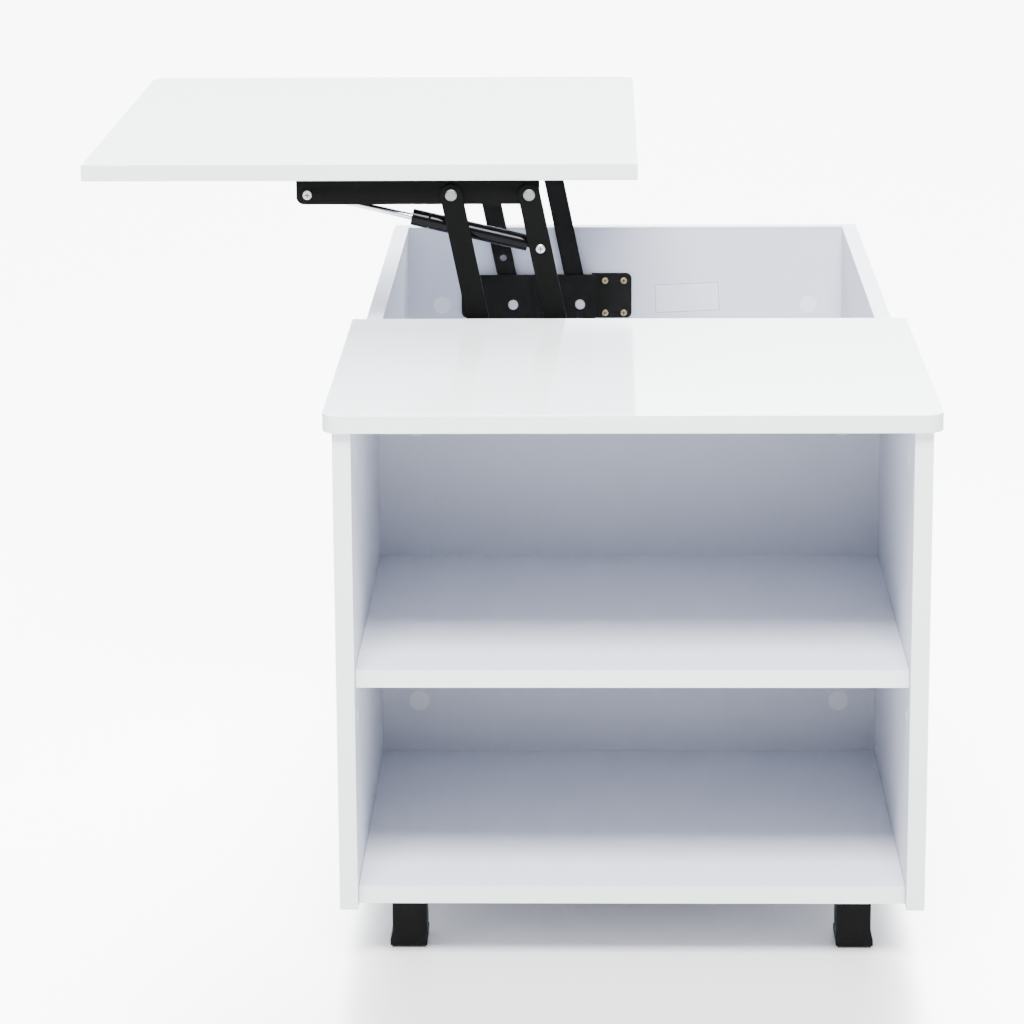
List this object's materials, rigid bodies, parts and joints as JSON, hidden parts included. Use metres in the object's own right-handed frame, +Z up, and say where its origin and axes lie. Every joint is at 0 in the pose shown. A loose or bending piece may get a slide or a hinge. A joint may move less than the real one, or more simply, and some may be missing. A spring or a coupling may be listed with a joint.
{
  "type": "lift top coffee table",
  "caption": "White coffee table with open end shelves, a hidden compartment and a top that lifts toward the user on parallel arms and gas springs.",
  "frame": {"origin": "on the floor, at the centre of the whole object's box with the lift top raised", "axes": "+Z up; +Y along the table's length, from the open shelf end to the storage end; the lift top rises toward -X, where the user sits"},
  "size_m": [0.7422, 1, 0.6104],
  "materials": {
    "gloss_board": "particle board under a high-gloss cool white film",
    "matt_board": "melamine-faced particle board, fine matt white",
    "edge_band": "glossy white edge band",
    "leg_plastic": "black moulded plastic",
    "foot_pad": "black rubber glide",
    "black_steel": "black powder coat, satin",
    "tube_paint": "black gloss paint",
    "rod_chrome": "hard chrome plated",
    "rod_seal": "black seal and guide",
    "zinc_steel": "zinc plated",
    "rivet_steel": "nickel plated, satin",
    "brass_screw": "yellow passivated steel",
    "cam_zinc": "die-cast zinc",
    "cover_film": "white self-adhesive cover",
    "dowel_wood": "fluted beech dowel",
    "label_film": "blank pale label"
  },
  "bodies": {
    "cabinet": {"left_side_panel": "matt_board", "right_side_panel": "matt_board", "bottom_panel": "matt_board", "partition_panel": "matt_board", "end_panel": "matt_board", "middle_shelf": "matt_board", "fixed_top": "gloss_board", "fixed_top_edging": "edge_band", "cabinet_edging": "edge_band", "near_left_leg": "leg_plastic", "near_right_leg": "leg_plastic", "far_left_leg": "leg_plastic", "far_right_leg": "leg_plastic", "foot_pads": "foot_pad", "leg_screws": "zinc_steel", "cam_locks": "cam_zinc", "cam_bolts": "zinc_steel", "cam_covers": "cover_film", "wooden_dowels": "dowel_wood", "hole_plugs": "cover_film", "blank_label": "label_film", "near_base_bracket": "black_steel", "far_base_bracket": "black_steel", "base_bracket_screws": "brass_screw", "lower_pivot_rivets": "rivet_steel", "pivot_spacers": "black_steel"},
    "lift_top": {"lift_top": "gloss_board", "lift_top_edging": "edge_band", "near_top_bracket": "black_steel", "far_top_bracket": "black_steel", "top_bracket_screws": "brass_screw", "upper_pivot_rivets": "rivet_steel", "rod_bolts": "zinc_steel"},
    "near_front_arm": {"near_front_arm": "black_steel"},
    "far_front_arm": {"far_front_arm": "black_steel"},
    "near_rear_arm": {"near_rear_arm": "black_steel", "near_spring_bolt": "zinc_steel", "near_spring_sleeve": "black_steel", "near_spring_nut": "zinc_steel"},
    "near_gas_tube": {"near_gas_tube": "tube_paint", "near_rod_guide": "rod_seal", "near_tube_end": "tube_paint"},
    "near_gas_rod": {"near_gas_rod": "rod_chrome", "near_piston": "zinc_steel", "near_rod_end": "tube_paint", "near_rod_stud": "zinc_steel"},
    "far_rear_arm": {"far_rear_arm": "black_steel", "far_spring_bolt": "zinc_steel", "far_spring_sleeve": "black_steel", "far_spring_nut": "zinc_steel"},
    "far_gas_tube": {"far_gas_tube": "tube_paint", "far_rod_guide": "rod_seal", "far_tube_end": "tube_paint"},
    "far_gas_rod": {"far_gas_rod": "rod_chrome", "far_piston": "zinc_steel", "far_rod_end": "tube_paint", "far_rod_stud": "zinc_steel"}
  },
  "joints": [
    {"name": "lift", "type": "hinge", "parent": "cabinet", "child": "near_rear_arm", "pos_m": [0.07365, -0.08285, 0.37481], "axis": [0, 1, 0], "range_deg": [0, 83.37]},
    {"name": "near_front_arm_turn", "type": "hinge", "parent": "cabinet", "child": "near_front_arm", "pos_m": [0.00345, -0.08285, 0.37481], "axis": [0, 1, 0], "range_deg": [0, 83.37]},
    {"name": "far_front_arm_turn", "type": "hinge", "parent": "cabinet", "child": "far_front_arm", "pos_m": [0.00345, 0.47185, 0.37481], "axis": [0, 1, 0], "range_deg": [0, 83.37]},
    {"name": "far_rear_arm_turn", "type": "hinge", "parent": "cabinet", "child": "far_rear_arm", "pos_m": [0.07365, 0.47185, 0.37481], "axis": [0, 1, 0], "range_deg": [0, 83.37]},
    {"name": "lift_top_level", "type": "hinge", "parent": "near_rear_arm", "child": "lift_top", "pos_m": [0.03126, -0.08285, 0.58079], "axis": [0, 1, 0], "range_deg": [-83.37, 0]},
    {"name": "near_spring_turn", "type": "hinge", "parent": "near_rear_arm", "child": "near_gas_tube", "pos_m": [0.04134, -0.069, 0.53182], "axis": [0, 1, 0], "range_deg": [-90.63, 0]},
    {"name": "near_rod_slide", "type": "slide", "parent": "near_gas_tube", "child": "near_gas_rod", "axis": [-0.9739, 0, 0.2271], "range_m": [-0.0624, 0]},
    {"name": "far_spring_turn", "type": "hinge", "parent": "far_rear_arm", "child": "far_gas_tube", "pos_m": [0.04134, 0.458, 0.53182], "axis": [0, 1, 0], "range_deg": [-90.63, 0]},
    {"name": "far_rod_slide", "type": "slide", "parent": "far_gas_tube", "child": "far_gas_rod", "axis": [-0.9739, 0, 0.2271], "range_m": [-0.0624, 0]}
  ],
  "couplings": [
    {"joint": "near_front_arm_turn", "follows": "lift", "ratio": 1},
    {"joint": "far_front_arm_turn", "follows": "lift", "ratio": 1},
    {"joint": "far_rear_arm_turn", "follows": "lift", "ratio": 1},
    {"joint": "lift_top_level", "follows": "lift", "ratio": -1},
    {"joint": "near_spring_turn", "follows": "lift", "ratio": -1.0871},
    {"joint": "near_rod_slide", "follows": "lift", "m_per_rad": -0.04288},
    {"joint": "far_spring_turn", "follows": "lift", "ratio": -1.0871},
    {"joint": "far_rod_slide", "follows": "lift", "m_per_rad": -0.04288}
  ]
}
